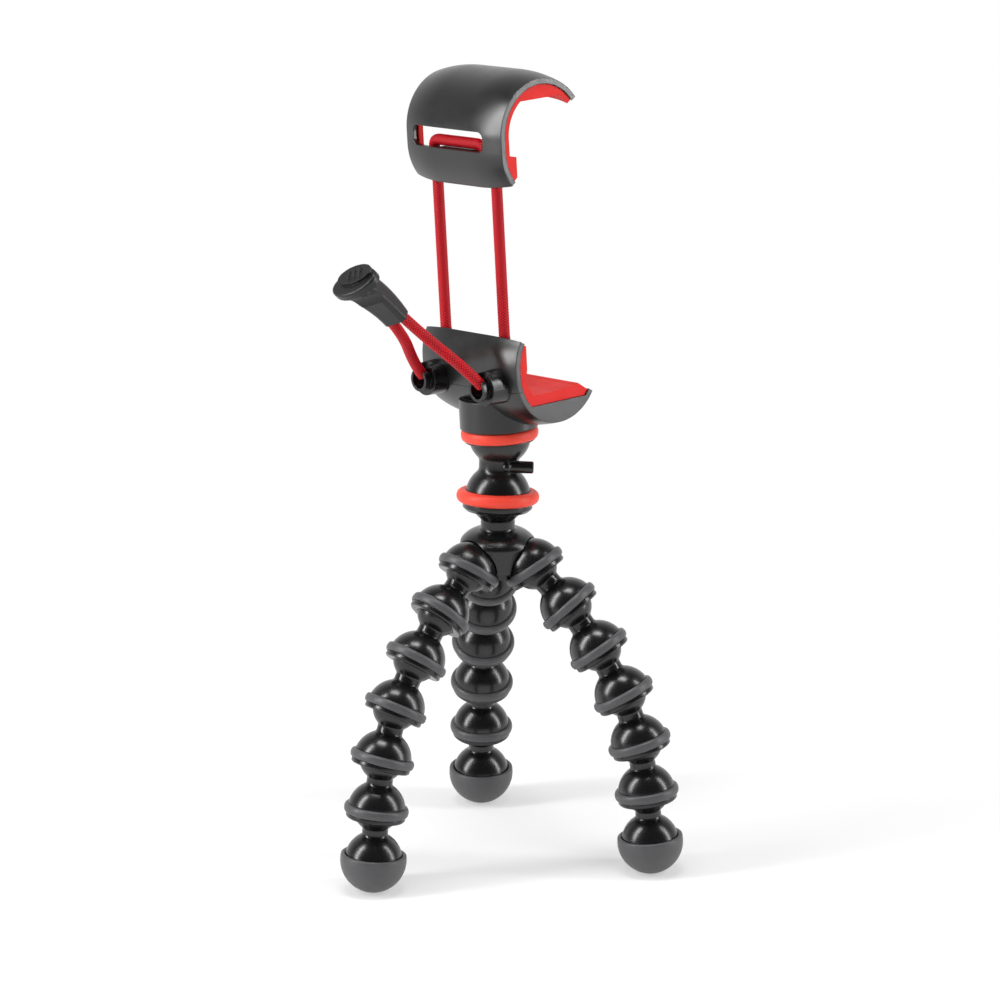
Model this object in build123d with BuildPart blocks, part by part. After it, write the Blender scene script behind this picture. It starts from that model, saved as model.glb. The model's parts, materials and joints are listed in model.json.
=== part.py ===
"""Flexible leg tripod with a spring-cord grip: three chains of ball-and-socket segments under a
double ball head, and two padded jaws drawn together by an elastic cord.

Millimetres, +Z up. The origin is on the ground, straight below the hub's head ball."""

import math
import os

from build123d import *

os.makedirs("parts", exist_ok=True)

# Stance: the compass angle of each leg, and how far each piece of a leg leans out from straight down
leg_azimuths = {"left": -91.5, "right": 31.6, "back": 144.0}
socket_azimuths = {"left": -90.0, "right": 30.0, "back": 150.0}
hub_socket_tilt_angle = 36.0
segment_tilt_angles = (44.4, 36.4, 30.1, 19.3, 8.8)
foot_tilt_angle = 4.6

# Clearances
ball_clearance = 0.05
seat_clearance = 0.03
cut_overrun = 1.0

# Leg ball joint
leg_pitch = 12.8
leg_ball_radius = 5.6
leg_ball_flat = 0.35
leg_neck_radius = 3.2
leg_neck_fillet = 0.8
leg_dome_radius = 7.1
leg_groove_radius = 6.35
leg_ring_width = 2.3
leg_ring_radius = 7.95
leg_ring_edge_radius = 7.25
leg_rim_radius = 7.3
leg_rim_reach = 2.35
leg_rim_bevel = 0.35

# Rubber foot
foot_cap_radius = 8.15
foot_lip_rise = 1.2
foot_lip_height = 0.35
foot_bead_drop = 1.8
foot_bead_width = 1.2
foot_bead_depth = 0.5
foot_contact_depth = 0.2

# Hub: rises and drops are from the height of the leg sockets' centres, or from the piece below
hub_socket_radius = 9.4
hub_ball_rise = 17.24
hub_ball_radius = 7.0
hub_ball_flat = 0.5
hub_neck_radius = 4.2
hub_neck_fillet = 0.7
hub_neck_rise = 3.1
hub_shoulder_radius = 9.35
hub_shoulder_depth = 0.55
hub_shoulder_fillet = 2.0
hub_skirt_radius = 8.5
hub_skirt_drop = 0.66
hub_skirt_wall = 1.5
hub_roof_rise = 4.94
hub_roof_thickness = 0.9
hub_arch_clearance = 0.25
hub_core_drop = 2.36
hub_ring_room = 0.35

# Middle link of the head
link_pitch = 15.3
link_lean_angle = 5.6
link_lean_azimuth = 121.2
link_waist_radius = 4.85
link_waist_fillet = 1.6
link_dome_radius = 8.0
link_groove_radius = 7.75
link_ring_width = 3.1
link_ring_radius = 10.15
link_ring_edge_radius = 8.9
link_rim_radius = 8.55
link_rim_reach = 3.6
link_rim_bevel = 0.85
upper_ball_radius = 7.7
upper_ball_flat = 0.5
peg_azimuth = 49.0
peg_drop = 7.4
peg_radius = 1.85
peg_root = 4.2
peg_reach = 8.1
peg_fillet = 0.9

# Grip: lean, and the turned socket under the lower jaw
grip_lean_angle = 4.5
socket_radius = 9.6
socket_top = 9.6
socket_groove_radius = 8.35
socket_ring_rise = 0.4
socket_ring_width = 2.8
socket_ring_radius = 9.5
socket_ring_edge_radius = 8.85
socket_rim_radius = 8.6
socket_rim_reach = 1.5
socket_rim_bevel = 0.15
socket_edge_fillet = 0.3

# Jaws: a barrel-shaped shell wrapped round an axis along the jaw, with a straight part in its back
lower_axis_y = 4.5
lower_axis_z = 19.2
lower_back_drop = 1.6
lower_lip_angle = 148.5
upper_axis_y = 3.5
upper_axis_z = 75.2
upper_back_drop = 3.4
upper_lip_angle = 218.0
jaw_half_width = 17.5
jaw_flat_half = 7.0
jaw_end_radius = 13.1
jaw_middle_radius = 14.6
jaw_wall = 1.4
jaw_front_angle = 33.6
jaw_seam_z = 13.6
jaw_seam_gap = 0.05
jaw_floor_z = 9.6

# Pads: the upper one lines its shell, and the lower one has an outline from the jaw's axis height
pad_half_width = 17.2
pad_end_angle = 1.2
pad_lining = 1.4
pad_ledge_z = 72.0
pad_ridge_z = 70.5
seat_back_y = -4.6
seat_front_y = 3.3
lower_seat_z = 12.2
upper_seat_z = 83.5
pad_lip_y = -4.8
pad_ridge_rise = 0.3
pad_hollow_y = -5.4
pad_hollow_rise = 2.9
pad_corner_y = -4.9
pad_corner_drop = 2.5
pad_corner_end_y = -3.4
pad_front_y = 9.4
pad_front_slope = 0.5
pad_tip_y = 12.6
pad_tip_rise = 5.9
pad_window_width = 27.0
pad_window_top = 77.0

# Window in the upper jaw and the saddle that the cord goes over
slot_width = 26.0
slot_height = 4.9
slot_radius = 1.7
slot_x = -1.0
slot_z = 74.3
saddle_top_clearance = 0.05
saddle_depth = 3.6
saddle_front_y = -5.0

# Cord
cord_radius = 1.4
cord_room = 0.1
cord_x = 10.9
cord_y = -6.1
cord_elbow_radius = 3.0
bridge_x = 9.2
bridge_y = -8.1
bridge_z = 73.3
bridge_bend_radius = 3.9
bridge_lead = 1.0
bridge_lead_bend = 5.0

# Cord posts on the back of the lower jaw
post_z = 14.9
post_mouth_y = -15.7
post_root_y = -6.5
post_base_radius = 4.4
post_body_radius = 4.1
post_groove_radius = 2.6
post_groove_length = 0.9
post_lip_radius = 2.85
post_lip_length = 1.0
post_bore_radius = 2.15
post_spigot_radius = 3.3
post_spigot_end_y = -8.72
post_notch_width = 3.6
post_notch_depth = 3.3
post_notch_floor = 0.5

# Cord tails and the pull tab on them
tail_pivot_inset = 1.5
tail_pivot_rise = 0.9
tail_gap = 0.1
tail_spacing = 1.62
tail_rise_angle = 51.0
tail_lead = 4.0
tail_lead_bend = 5.0
tail_root_lead = 4.2
tail_root_bend = 10.0
tail_hold = 6.0
tab_root_y = -30.3
tab_root_z = 33.8
tab_rise_angle = 45.0
tab_roll_angle = 26.0
tab_root_width = 6.6
tab_root_thickness = 3.9
tab_corner = 1.4
tab_sleeve_length = 8.0
tab_sleeve_width = 7.4
tab_sleeve_thickness = 4.9
tab_throat_length = 14.2
tab_throat_width = 9.2
tab_throat_thickness = 4.8
tab_flange_width = 12.8
tab_flange_thickness = 8.0
tab_flange_side = -0.5
tab_flange_drop = -1.0
tab_flange_length = 2.4
tab_flange_fillet = 0.6
tab_button_width = 9.8
tab_button_thickness = 5.4
tab_button_rise = 0.4
tab_button_length = 0.7
tab_rib_count = 3
tab_rib_length = 2.6
tab_rib_width = 0.7
tab_rib_spacing = 1.6
tab_rib_rise = 0.3
tab_scoop_radius = 3.2
tab_scoop_distance = 10.6
tab_scoop_drop = 5.1


def keep(piece, name):
    """Names a finished piece and writes it to its own file."""
    piece.part.label = name
    export_step(piece.part, f"parts/{name}.step")


def compass(azimuth):
    """The level direction at a compass angle, in degrees from +X."""
    return Vector(math.cos(math.radians(azimuth)), math.sin(math.radians(azimuth)), 0)


def leaning(azimuth, tilt):
    """The downward direction that leans out by tilt at a compass angle."""
    return compass(azimuth) * math.sin(math.radians(tilt)) - Vector(0, 0, math.cos(math.radians(tilt)))


def turning_plane(origin, axis, side):
    """A plane for a turned outline: sketch x is the radius, and sketch y runs along the axis."""
    return Plane(origin=origin, x_dir=side, z_dir=side.cross(axis))


def arc_about(centre, radius, start, end):
    """An arc about a point on the turning axis, between two angles above the level line."""
    return CenterArc((0, centre), radius, start, end - start)


def angle_at_radius(radius, across):
    """The angle above the level line at which a circle of this radius is this far from the axis."""
    return math.degrees(math.acos(across / radius))


def angle_at_height(radius, height):
    """The angle above the level line at which a circle reaches this height."""
    return math.degrees(math.asin(height / radius))


def ball_lines(radius, flat, neck):
    """The outline of a ball about the sketch origin, from its flat end to where the neck leaves it."""
    ball = arc_about(0, radius, -angle_at_height(radius, radius - flat), angle_at_radius(radius, neck))
    Line((0, flat - radius), ball @ 0)
    return ball


def socket_lines(centre, start, dome, groove, ring_width, rim, reach, bevel, cavity):
    """A domed socket: the dome, the ring's groove, the rim band and the round cavity inside."""
    half = ring_width / 2
    crown = arc_about(centre, dome, -angle_at_radius(dome, start), -angle_at_height(dome, half))
    hollow = arc_about(centre, cavity, angle_at_height(cavity, reach), -90)
    Polyline(
        crown @ 1,
        (groove, centre - half),
        (groove, centre + half),
        (rim, centre + half),
        (rim, centre + reach - bevel),
        (rim - bevel, centre + reach),
        hollow @ 0,
    )
    return crown, hollow


def band_ring(plane, centre, inner, edge, outer, width):
    """A rubber ring with a flat seat inside and a round outside, turned about the plane's y axis."""
    half = width / 2 - seat_clearance
    seat = inner + seat_clearance
    with BuildPart() as ring:
        with BuildSketch(plane):
            with BuildLine():
                bulge = ThreePointArc((edge, centre - half), (outer, centre), (edge, centre + half))
                Polyline(bulge @ 1, (seat, centre + half), (seat, centre - half), bulge @ 0)
            make_face()
        revolve(axis=Axis(plane.origin, plane.y_dir))
    return ring


def leg_ring(plane, centre):
    """The grey ring of one leg joint."""
    return band_ring(
        plane, centre, leg_groove_radius, leg_ring_edge_radius, leg_ring_radius, leg_ring_width
    )


def leg_segment(plane):
    """One ringed segment: a ball, a neck and a domed socket for the next ball."""
    with BuildPart() as segment:
        with BuildSketch(plane):
            with BuildLine():
                ball = ball_lines(leg_ball_radius, leg_ball_flat, leg_neck_radius)
                crown, hollow = socket_lines(
                    leg_pitch,
                    leg_neck_radius,
                    leg_dome_radius,
                    leg_groove_radius,
                    leg_ring_width,
                    leg_rim_radius,
                    leg_rim_reach,
                    leg_rim_bevel,
                    leg_ball_radius + ball_clearance,
                )
                neck = Line(ball @ 1, crown @ 0)
                Line(hollow @ 1, (0, leg_ball_flat - leg_ball_radius))
            make_face()
        revolve(axis=Axis(plane.origin, plane.y_dir))
        ends = [Vector(plane.from_local_coords(neck @ 0)), Vector(plane.from_local_coords(neck @ 1))]
        rounds = [
            edge
            for edge in segment.edges().filter_by(GeomType.CIRCLE)
            if any(edge.distance_to(end) < ball_clearance for end in ends)
        ]
        fillet(rounds, leg_neck_fillet)
    return segment


def foot_segment(plane):
    """The last piece of a leg: a ball, a neck and a round foot with a groove for the cap's bead."""
    groove_top = leg_pitch + foot_bead_drop - foot_bead_width / 2
    groove_foot = groove_top + foot_bead_width
    bottom = leg_dome_radius - foot_bead_depth
    with BuildPart() as foot:
        with BuildSketch(plane):
            with BuildLine():
                ball = ball_lines(leg_ball_radius, leg_ball_flat, leg_neck_radius)
                upper = arc_about(
                    leg_pitch,
                    leg_dome_radius,
                    -angle_at_radius(leg_dome_radius, leg_neck_radius),
                    angle_at_height(leg_dome_radius, groove_top - leg_pitch),
                )
                lower = arc_about(
                    leg_pitch, leg_dome_radius, angle_at_height(leg_dome_radius, groove_foot - leg_pitch), 90
                )
                neck = Line(ball @ 1, upper @ 0)
                Polyline(
                    upper @ 1,
                    (bottom, groove_top),
                    (bottom, groove_foot),
                    lower @ 0,
                )
                Line(lower @ 1, (0, leg_ball_flat - leg_ball_radius))
            make_face()
        revolve(axis=Axis(plane.origin, plane.y_dir))
        ends = [Vector(plane.from_local_coords(neck @ 0)), Vector(plane.from_local_coords(neck @ 1))]
        rounds = [
            edge
            for edge in foot.edges().filter_by(GeomType.CIRCLE)
            if any(edge.distance_to(end) < ball_clearance for end in ends)
        ]
        fillet(rounds, leg_neck_fillet)
    return foot


def foot_cap(plane):
    """The rubber cap, snapped over the round foot and flattened where it meets the ground."""
    inside = leg_dome_radius + seat_clearance
    bead_width = foot_bead_width - 2 * seat_clearance
    bead_top = leg_pitch + foot_bead_drop - bead_width / 2
    bead_foot = bead_top + bead_width
    bead_inside = leg_dome_radius - foot_bead_depth + seat_clearance
    with BuildPart() as cap:
        with BuildSketch(plane):
            with BuildLine():
                skin = arc_about(
                    leg_pitch, foot_cap_radius, -angle_at_height(foot_cap_radius, foot_lip_rise), 90
                )
                upper = arc_about(
                    leg_pitch,
                    inside,
                    -angle_at_height(inside, foot_lip_rise),
                    angle_at_height(inside, bead_top - leg_pitch),
                )
                lower = arc_about(leg_pitch, inside, angle_at_height(inside, bead_foot - leg_pitch), 90)
                lip_middle = ((inside + foot_cap_radius) / 2, leg_pitch - foot_lip_rise - foot_lip_height)
                ThreePointArc(upper @ 0, lip_middle, skin @ 0)
                Polyline(
                    upper @ 1,
                    (bead_inside, bead_top),
                    (bead_inside, bead_foot),
                    lower @ 0,
                )
                Line(lower @ 1, skin @ 1)
            make_face()
        revolve(axis=Axis(plane.origin, plane.y_dir))
        split(bisect_by=Plane.XY, keep=Keep.TOP)
    return cap


# Legs: each ball sits in the socket above it, from the hub down to the foot that stands on the ground
leg_tilts = segment_tilt_angles + (foot_tilt_angle,)
leg_drop = sum(math.cos(math.radians(tilt)) for tilt in leg_tilts) * leg_pitch
hub_socket_height = foot_cap_radius - foot_contact_depth + leg_drop
hub_roof_height = hub_socket_height + hub_roof_rise
hub_shoulder_height = hub_roof_height + hub_roof_thickness
hub_neck_foot = hub_shoulder_height + hub_neck_rise
hub_skirt_foot = hub_socket_height - hub_skirt_drop
hub_core_foot = hub_socket_height - hub_core_drop
hub_ball_height = hub_socket_height + hub_ball_rise
hub_sockets = {
    side: compass(azimuth) * hub_socket_radius + Vector(0, 0, hub_socket_height)
    for side, azimuth in socket_azimuths.items()
}
for side, azimuth in leg_azimuths.items():
    across = compass(azimuth + 90)
    ball_centre = hub_sockets[side]
    for number, tilt in enumerate(segment_tilt_angles, start=1):
        downward = leaning(azimuth, tilt)
        profile = turning_plane(ball_centre, downward, across)
        keep(leg_segment(profile), f"{side}_leg_segment_{number}")
        keep(leg_ring(profile, leg_pitch), f"{side}_leg_ring_{number}")
        ball_centre = ball_centre + downward * leg_pitch
    profile = turning_plane(ball_centre, leaning(azimuth, foot_tilt_angle), across)
    keep(foot_segment(profile), f"{side}_foot")
    keep(foot_cap(profile), f"{side}_foot_cap")

# Hub core: a boss with three domed sockets, each turned towards its leg
core_radius = hub_skirt_radius - hub_skirt_wall - seat_clearance
with BuildPart() as hub_core:
    with BuildSketch(Plane.XY.offset(hub_core_foot)):
        Circle(core_radius)
    extrude(amount=hub_roof_height - seat_clearance - hub_core_foot)
    for side, azimuth in socket_azimuths.items():
        room_depth = leg_ring_radius + leg_ring_width
        downward = leaning(azimuth, hub_socket_tilt_angle)
        room_top = hub_sockets[side] - downward * (leg_ring_width / 2)
        with BuildSketch(Plane(origin=room_top, x_dir=compass(azimuth + 90), z_dir=downward)):
            Circle(leg_ring_radius + hub_ring_room)
        extrude(amount=room_depth, mode=Mode.SUBTRACT)
    for side, azimuth in socket_azimuths.items():
        profile = turning_plane(
            hub_sockets[side], leaning(azimuth, hub_socket_tilt_angle), compass(azimuth + 90)
        )
        with BuildSketch(profile):
            with BuildLine():
                crown, hollow = socket_lines(
                    0,
                    0,
                    leg_dome_radius,
                    leg_groove_radius,
                    leg_ring_width,
                    leg_rim_radius,
                    leg_rim_reach,
                    leg_rim_bevel,
                    leg_ball_radius + ball_clearance,
                )
                Line(hollow @ 1, crown @ 0)
            make_face()
        revolve(axis=Axis(profile.origin, profile.y_dir))
    for side, centre in hub_sockets.items():
        with BuildSketch(turning_plane(centre, Vector(0, 0, 1), Vector(1, 0, 0))):
            with BuildLine():
                half_round = arc_about(0, leg_ball_radius + ball_clearance, -90, 90)
                Line(half_round @ 1, half_round @ 0)
            make_face()
        revolve(axis=Axis(centre, (0, 0, 1)), mode=Mode.SUBTRACT)
keep(hub_core, "hub_core")

for side, azimuth in socket_azimuths.items():
    profile = turning_plane(
        hub_sockets[side], leaning(azimuth, hub_socket_tilt_angle), compass(azimuth + 90)
    )
    keep(leg_ring(profile, 0), f"{side}_hub_ring")

# Hub cap: the head ball and neck on a bell that is arched over the three domes
with BuildPart() as hub_cap:
    with BuildSketch(Plane.XZ):
        with BuildLine():
            ball_foot = hub_ball_height - math.sqrt(hub_ball_radius**2 - hub_neck_radius**2)
            ball = arc_about(
                hub_ball_height,
                hub_ball_radius,
                angle_at_height(hub_ball_radius, hub_ball_radius - hub_ball_flat),
                -angle_at_radius(hub_ball_radius, hub_neck_radius),
            )
            neck = Line((hub_neck_radius, ball_foot), (hub_neck_radius, hub_neck_foot))
            shoulder_middle = Vector(
                (hub_neck_radius + hub_shoulder_radius) / 2 + hub_shoulder_depth,
                (hub_neck_foot + hub_shoulder_height) / 2 + hub_shoulder_depth,
            )
            shoulder = ThreePointArc(
                neck @ 1, shoulder_middle, (hub_shoulder_radius, hub_shoulder_height)
            )
            Polyline(
                shoulder @ 1,
                (hub_skirt_radius, hub_skirt_foot),
                (hub_skirt_radius - hub_skirt_wall, hub_skirt_foot),
                (hub_skirt_radius - hub_skirt_wall, hub_roof_height),
                (0, hub_roof_height),
                (0, hub_ball_height + hub_ball_radius - hub_ball_flat),
                ball @ 0,
            )
        make_face()
    revolve(axis=Axis.Z)
    neck_rounds = [
        edge
        for edge in hub_cap.edges().filter_by(GeomType.CIRCLE)
        if abs(edge.radius - hub_neck_radius) < ball_clearance
    ]
    fillet(neck_rounds, hub_neck_fillet)
    shoulder_rounds = [
        edge
        for edge in hub_cap.edges().filter_by(GeomType.CIRCLE)
        if abs(edge.radius - hub_shoulder_radius) < ball_clearance
    ]
    fillet(shoulder_rounds, hub_shoulder_fillet)
    for side, azimuth in socket_azimuths.items():
        downward = leaning(azimuth, hub_socket_tilt_angle)
        with BuildSketch(turning_plane(hub_sockets[side], downward, compass(azimuth + 90))):
            with BuildLine():
                room_radius = leg_ring_radius + hub_ring_room
                dome_room = arc_about(0, leg_dome_radius + hub_arch_clearance, -90, 0)
                Polyline(
                    dome_room @ 1,
                    (room_radius, 0),
                    (room_radius, room_radius),
                    (0, room_radius),
                    dome_room @ 0,
                )
            make_face()
        revolve(axis=Axis(hub_sockets[side], downward), mode=Mode.SUBTRACT)
        rim_room = hub_sockets[side] - downward * (leg_ring_width / 2 + seat_clearance)
        with BuildSketch(Plane(origin=rim_room, x_dir=compass(azimuth + 90), z_dir=downward)):
            Circle(leg_ring_radius + hub_ring_room)
        extrude(amount=leg_ring_radius, mode=Mode.SUBTRACT)
keep(hub_cap, "hub_cap")

# Head: the middle link, with the hub's ball in its socket and the grip's ball on top
hub_ball = Vector(0, 0, hub_ball_height)
link_down = leaning(link_lean_azimuth + 180, link_lean_angle)
upper_ball = hub_ball - link_down * link_pitch
link_profile = turning_plane(upper_ball, link_down, compass(peg_azimuth - 90).cross(link_down))
with BuildPart() as middle_link:
    with BuildSketch(link_profile):
        with BuildLine():
            ball = ball_lines(upper_ball_radius, upper_ball_flat, link_waist_radius)
            crown, hollow = socket_lines(
                link_pitch,
                link_waist_radius,
                link_dome_radius,
                link_groove_radius,
                link_ring_width,
                link_rim_radius,
                link_rim_reach,
                link_rim_bevel,
                hub_ball_radius + ball_clearance,
            )
            waist = Line(ball @ 1, crown @ 0)
            Line(hollow @ 1, (0, upper_ball_flat - upper_ball_radius))
        make_face()
    revolve(axis=Axis(upper_ball, link_down))
    waist_rounds = [
        edge
        for edge in middle_link.edges().filter_by(GeomType.CIRCLE)
        if abs(edge.radius - link_waist_radius) < ball_clearance
    ]
    fillet(waist_rounds, link_waist_fillet)
    peg_middle = upper_ball + link_down * peg_drop
    peg_foot = peg_middle + link_profile.x_dir * peg_root
    peg_tip = peg_middle + link_profile.x_dir * peg_reach
    with BuildSketch(Plane(origin=peg_foot, x_dir=link_down, z_dir=link_profile.x_dir)):
        Circle(peg_radius)
    extrude(amount=peg_reach - peg_root)
    fillet(middle_link.edges().filter_by(GeomType.CIRCLE).sort_by_distance(peg_tip)[0], peg_fillet)
keep(middle_link, "middle_link")

lower_head_ring = band_ring(
    link_profile,
    link_pitch,
    link_groove_radius,
    link_ring_edge_radius,
    link_ring_radius,
    link_ring_width,
)
keep(lower_head_ring, "lower_head_ring")

# Grip frame: the origin is the upper ball, x runs along the jaws, and y points to the grip's front
grip = Plane(
    origin=upper_ball,
    x_dir=(math.cos(math.radians(grip_lean_angle)), 0, math.sin(math.radians(grip_lean_angle))),
    z_dir=(-math.sin(math.radians(grip_lean_angle)), 0, math.cos(math.radians(grip_lean_angle))),
)


def in_grip(x, y, z):
    """A point of the grip's frame, as a place in the whole part."""
    return Vector(grip.from_local_coords((x, y, z)))


def side_plane(x):
    """A plane across the jaw: sketch x is the grip's y, and sketch y is its z."""
    return Plane(origin=in_grip(x, 0, 0), x_dir=grip.y_dir, z_dir=grip.x_dir)


def back_plane(y):
    """A plane facing the back: sketch x is the grip's x, sketch y its z, and extrusion goes out."""
    return Plane(origin=in_grip(0, y, 0), x_dir=grip.x_dir, z_dir=-grip.y_dir)


def level_plane(z):
    """A plane square to the grip's upright axis."""
    return Plane(origin=in_grip(0, 0, z), x_dir=grip.x_dir, z_dir=grip.z_dir)


def jaw_section(axis_point, angle, inner_drop, outer_drop, half_width):
    """The barrel's outline on the plane that leaves the jaw's axis at this angle."""
    outward = grip.y_dir * math.cos(math.radians(angle)) + grip.z_dir * math.sin(math.radians(angle))
    outer_end = jaw_end_radius - outer_drop
    outer_middle = jaw_middle_radius - outer_drop
    outline_plane = Plane(origin=axis_point, x_dir=grip.x_dir, z_dir=grip.x_dir.cross(outward))
    with BuildSketch(outline_plane) as outline:
        with BuildLine():
            Line((-jaw_flat_half, outer_middle), (jaw_flat_half, outer_middle))
            right = TangentArc((jaw_flat_half, outer_middle), (half_width, outer_end), tangent=(1, 0))
            left = TangentArc((-jaw_flat_half, outer_middle), (-half_width, outer_end), tangent=(-1, 0))
            if inner_drop:
                inner_end = jaw_end_radius - inner_drop
                inner_middle = jaw_middle_radius - inner_drop
                Line((-jaw_flat_half, inner_middle), (jaw_flat_half, inner_middle))
                inner_right = TangentArc(
                    (jaw_flat_half, inner_middle), (half_width, inner_end), tangent=(1, 0)
                )
                inner_left = TangentArc(
                    (-jaw_flat_half, inner_middle), (-half_width, inner_end), tangent=(-1, 0)
                )
                Line(right @ 1, inner_right @ 1)
                Line(left @ 1, inner_left @ 1)
            else:
                Polyline(right @ 1, (half_width, 0), (-half_width, 0), left @ 1)
        make_face()
    return outline.sketch


def jaw_wrap(axis, back_drop, start, end, inner_drop, outer_drop, half_width, mode=Mode.ADD):
    """A barrel wall from one angle to the back, straight down there, and on to another angle."""
    axis_y, axis_z = axis
    back_angle = 180
    top_axis = in_grip(0, axis_y, axis_z)
    foot_axis = in_grip(0, axis_y, axis_z - back_drop)
    top = jaw_section(top_axis, start, inner_drop, outer_drop, half_width)
    revolve(top, axis=Axis(top_axis, grip.x_dir), revolution_arc=back_angle - start, mode=mode)
    back = jaw_section(top_axis, back_angle, inner_drop, outer_drop, half_width)
    extrude(back, amount=back_drop, mode=mode)
    foot = jaw_section(foot_axis, back_angle, inner_drop, outer_drop, half_width)
    revolve(foot, axis=Axis(foot_axis, grip.x_dir), revolution_arc=end - back_angle, mode=mode)


# Cord route, one side: from the post's mouth through the lower jaw, and up to the lower jaw's lip
def lip_height(axis_z, angle):
    """The height at which the cord passes the edge of a jaw's back lip."""
    return axis_z + math.sin(math.radians(angle)) * (jaw_middle_radius - jaw_wall / 2)


lower_axis = (lower_axis_y, lower_axis_z)
upper_axis = (upper_axis_y, upper_axis_z)
lower_lip_z = lip_height(lower_axis_z, lower_lip_angle)
upper_lip_z = lip_height(upper_axis_z - upper_back_drop, upper_lip_angle)
groove_run_out = 4.0
pivot_y = post_mouth_y + tail_pivot_inset
pivot_z = post_z + tail_pivot_rise
cord_inner_y = pivot_y + cord_radius + tail_gap


def lower_route(side, end_z):
    """The cord's line inside the lower jaw, on the side with this sign, up to this height."""
    return [
        in_grip(side * cord_x, cord_inner_y, post_z),
        in_grip(side * cord_x, cord_y, post_z),
        in_grip(side * cord_x, cord_y, end_z),
    ]


def bridge_route(end_z):
    """The cord's line up from this height, in behind the slot, across it and down again."""
    return [
        in_grip(-cord_x, cord_y, end_z),
        in_grip(-cord_x, cord_y, upper_lip_z + bridge_lead),
        in_grip(-bridge_x, bridge_y, bridge_z),
        in_grip(bridge_x, bridge_y, bridge_z),
        in_grip(cord_x, cord_y, upper_lip_z + bridge_lead),
        in_grip(cord_x, cord_y, end_z),
    ]


def cord_sweep(route, radii, radius, mode=Mode.ADD):
    """A round tube along straight runs joined by tangent arcs."""
    with BuildLine(mode=Mode.PRIVATE) as path:
        FilletPolyline(*route, radius=radii)
    start = Plane(origin=route[0], z_dir=route[1] - route[0])
    with BuildSketch(start) as section:
        Circle(radius)
    sweep(sections=section.sketch, path=path.line, mode=mode)
    return sum(edge.length for edge in path.edges())


def strip(low, high, lengthwise, depth):
    """A block across the whole jaw, from one height to another, about a place along the grip's y."""
    with BuildSketch(side_plane(0)) as block:
        with Locations((lengthwise, (low + high) / 2)):
            Rectangle(depth, high - low)
    extrude(block.sketch, amount=jaw_half_width + cut_overrun, both=True, mode=Mode.SUBTRACT)


def keep_cord(piece, name, length):
    """Writes a cord's piece, and says how its volume compares with its section times its length."""
    keep(piece, name)
    share = piece.part.volume / (math.pi * cord_radius**2 * length)
    print(f"{name}: {length:.1f} mm long, volume {share:.3f} of section times length")


# Upper jaw: the shell with its slot and the saddle that carries the cord, and the red pad inside
bridge_bends = [bridge_lead_bend, bridge_bend_radius, bridge_bend_radius, bridge_lead_bend]
with BuildPart() as upper_jaw_shell:
    jaw_wrap(
        upper_axis, upper_back_drop, jaw_front_angle, upper_lip_angle, jaw_wall, 0, jaw_half_width
    )
    saddle_half = bridge_x - cord_radius - saddle_top_clearance
    saddle_top = bridge_z - cord_radius - saddle_top_clearance
    with BuildSketch(back_plane(saddle_front_y)):
        with BuildLine():
            FilletPolyline(
                (-saddle_half, saddle_top - saddle_depth),
                (-saddle_half, saddle_top),
                (saddle_half, saddle_top),
                (saddle_half, saddle_top - saddle_depth),
                radius=bridge_bend_radius - cord_radius - saddle_top_clearance,
            )
            Line((saddle_half, saddle_top - saddle_depth), (-saddle_half, saddle_top - saddle_depth))
        make_face()
    extrude(amount=jaw_middle_radius - jaw_wall - upper_axis_y + saddle_front_y)
    with BuildSketch(back_plane(pad_lip_y)):
        with Locations((slot_x, slot_z)):
            RectangleRounded(slot_width, slot_height, slot_radius)
    extrude(amount=jaw_middle_radius, mode=Mode.SUBTRACT)
    groove_route = bridge_route(upper_lip_z - groove_run_out)
    cord_sweep(groove_route, bridge_bends, cord_radius + cord_room, Mode.SUBTRACT)
keep(upper_jaw_shell, "upper_jaw_shell")

# The hollow of the upper pad: it leaves a lining, a seat at the top and a ridge at the lip
pad_drop = jaw_wall + seat_clearance
with BuildPart() as upper_hollow:
    jaw_wrap(
        upper_axis,
        upper_back_drop,
        jaw_front_angle,
        upper_lip_angle,
        0,
        pad_drop + pad_lining,
        jaw_half_width,
    )
    split(bisect_by=level_plane(upper_seat_z), keep=Keep.BOTTOM)
    with BuildSketch(side_plane(0)) as ridge_outline:
        with BuildLine():
            Polyline(
                (pad_lip_y, pad_ridge_z),
                (-jaw_middle_radius, pad_ledge_z),
                (-jaw_middle_radius, pad_ledge_z - jaw_middle_radius),
                (pad_lip_y, pad_ledge_z - jaw_middle_radius),
                close=True,
            )
        make_face()
    extrude(ridge_outline.sketch, amount=jaw_half_width + cut_overrun, both=True, mode=Mode.SUBTRACT)

with BuildPart() as upper_jaw_pad:
    jaw_wrap(
        upper_axis,
        upper_back_drop,
        jaw_front_angle + pad_end_angle,
        upper_lip_angle - pad_end_angle,
        0,
        pad_drop,
        pad_half_width,
    )
    add(upper_hollow.part, mode=Mode.SUBTRACT)
    with BuildSketch(back_plane(seat_back_y + cut_overrun)):
        with Locations((0, pad_window_top - jaw_middle_radius / 2)):
            Rectangle(pad_window_width, jaw_middle_radius)
    extrude(amount=jaw_middle_radius, mode=Mode.SUBTRACT)
keep(upper_jaw_pad, "upper_jaw_pad")

with BuildPart() as cord_bridge:
    bridge_length = cord_sweep(bridge_route(upper_lip_z), bridge_bends, cord_radius)
keep_cord(cord_bridge, "cord_bridge", bridge_length)

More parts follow.
